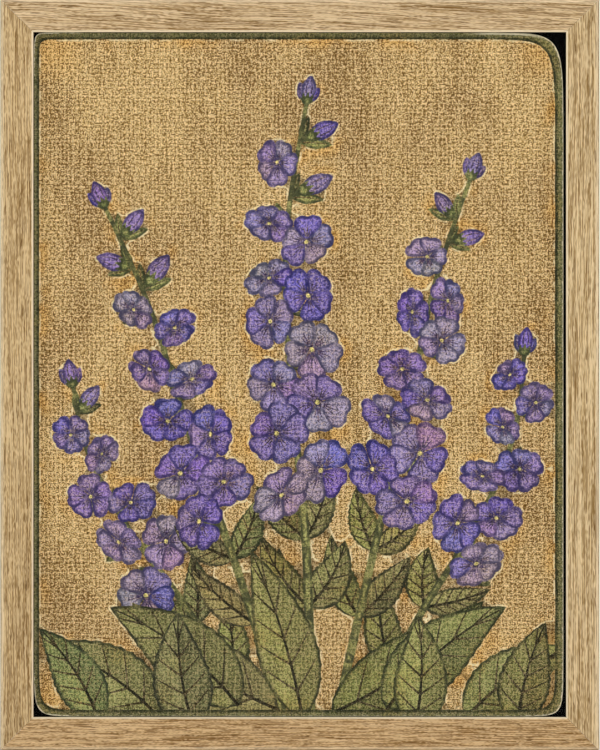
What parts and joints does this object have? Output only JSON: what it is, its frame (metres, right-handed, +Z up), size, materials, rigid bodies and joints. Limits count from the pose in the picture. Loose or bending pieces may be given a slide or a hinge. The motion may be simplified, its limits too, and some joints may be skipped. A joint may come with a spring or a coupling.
{
  "type": "framed art print",
  "caption": "Slim mitred oak picture frame with glass, a round-cornered print floated on black board, a backing held by turn buttons, and a sawtooth hanger.",
  "frame": {"origin": "the hanging point: the root of the sawtooth hanger's middle notch, on the plane of the rails' backs", "axes": "-Y is the way the picture faces, +Y is towards the wall, +Z is up, and +X is to the viewer's right"},
  "size_m": [0.2996, 0.02, 0.3759],
  "materials": {
    "oak": "sanded, clear matt oil",
    "picture_glass": "polished float glass",
    "printed_sheet": "matt print on woven ground",
    "pale_board": "uncoated",
    "black_board": "matt black paper",
    "black_plastic": "matt",
    "fibreboard": "smooth pressed hardboard",
    "corner_steel": "plain cold-rolled",
    "zinc_plate": "bright zinc plate",
    "soft_bumper": "clear soft polyurethane"
  },
  "bodies": {
    "root": {"rail_top": "oak", "rail_bottom": "oak", "rail_left": "oak", "rail_right": "oak", "corner_nail_top_left": "corner_steel", "corner_nail_top_right": "corner_steel", "corner_nail_bottom_left": "corner_steel", "corner_nail_bottom_right": "corner_steel", "glazing": "picture_glass", "picture_sheet": "printed_sheet", "picture_board": "pale_board", "spacer_top": "black_plastic", "spacer_bottom": "black_plastic", "spacer_left": "black_plastic", "spacer_right": "black_plastic", "mount_board": "black_board", "backing_board": "fibreboard", "button_screw_1": "zinc_plate", "button_screw_2": "zinc_plate", "button_screw_3": "zinc_plate", "button_screw_4": "zinc_plate", "button_screw_5": "zinc_plate", "button_screw_6": "zinc_plate", "button_screw_7": "zinc_plate", "button_screw_8": "zinc_plate", "hanger": "zinc_plate", "hanger_screw_left": "zinc_plate", "hanger_screw_right": "zinc_plate", "bumper_left": "soft_bumper", "bumper_right": "soft_bumper"},
    "button_1": {"turn_button_1": "zinc_plate"},
    "button_2": {"turn_button_2": "zinc_plate"},
    "button_3": {"turn_button_3": "zinc_plate"},
    "button_4": {"turn_button_4": "zinc_plate"},
    "button_5": {"turn_button_5": "zinc_plate"},
    "button_6": {"turn_button_6": "zinc_plate"},
    "button_7": {"turn_button_7": "zinc_plate"},
    "button_8": {"turn_button_8": "zinc_plate"}
  },
  "joints": [
    {"name": "button_1_swivel", "type": "hinge", "parent": "root", "child": "button_1", "pos_m": [-0.07, 0.0008, 0.0027], "axis": [0, 1, 0], "continuous": true},
    {"name": "button_2_swivel", "type": "hinge", "parent": "root", "child": "button_2", "pos_m": [0.07, 0.0008, 0.0027], "axis": [0, 1, 0], "continuous": true},
    {"name": "button_3_swivel", "type": "hinge", "parent": "root", "child": "button_3", "pos_m": [0.14517, 0.0008, -0.08557], "axis": [0, 1, 0], "continuous": true},
    {"name": "button_4_swivel", "type": "hinge", "parent": "root", "child": "button_4", "pos_m": [0.14517, 0.0008, -0.27558], "axis": [0, 1, 0], "continuous": true},
    {"name": "button_5_swivel", "type": "hinge", "parent": "root", "child": "button_5", "pos_m": [0.07, 0.0008, -0.36385], "axis": [0, 1, 0], "continuous": true},
    {"name": "button_6_swivel", "type": "hinge", "parent": "root", "child": "button_6", "pos_m": [-0.07, 0.0008, -0.36385], "axis": [0, 1, 0], "continuous": true},
    {"name": "button_7_swivel", "type": "hinge", "parent": "root", "child": "button_7", "pos_m": [-0.14517, 0.0008, -0.27558], "axis": [0, 1, 0], "continuous": true},
    {"name": "button_8_swivel", "type": "hinge", "parent": "root", "child": "button_8", "pos_m": [-0.14517, 0.0008, -0.08557], "axis": [0, 1, 0], "continuous": true}
  ]
}
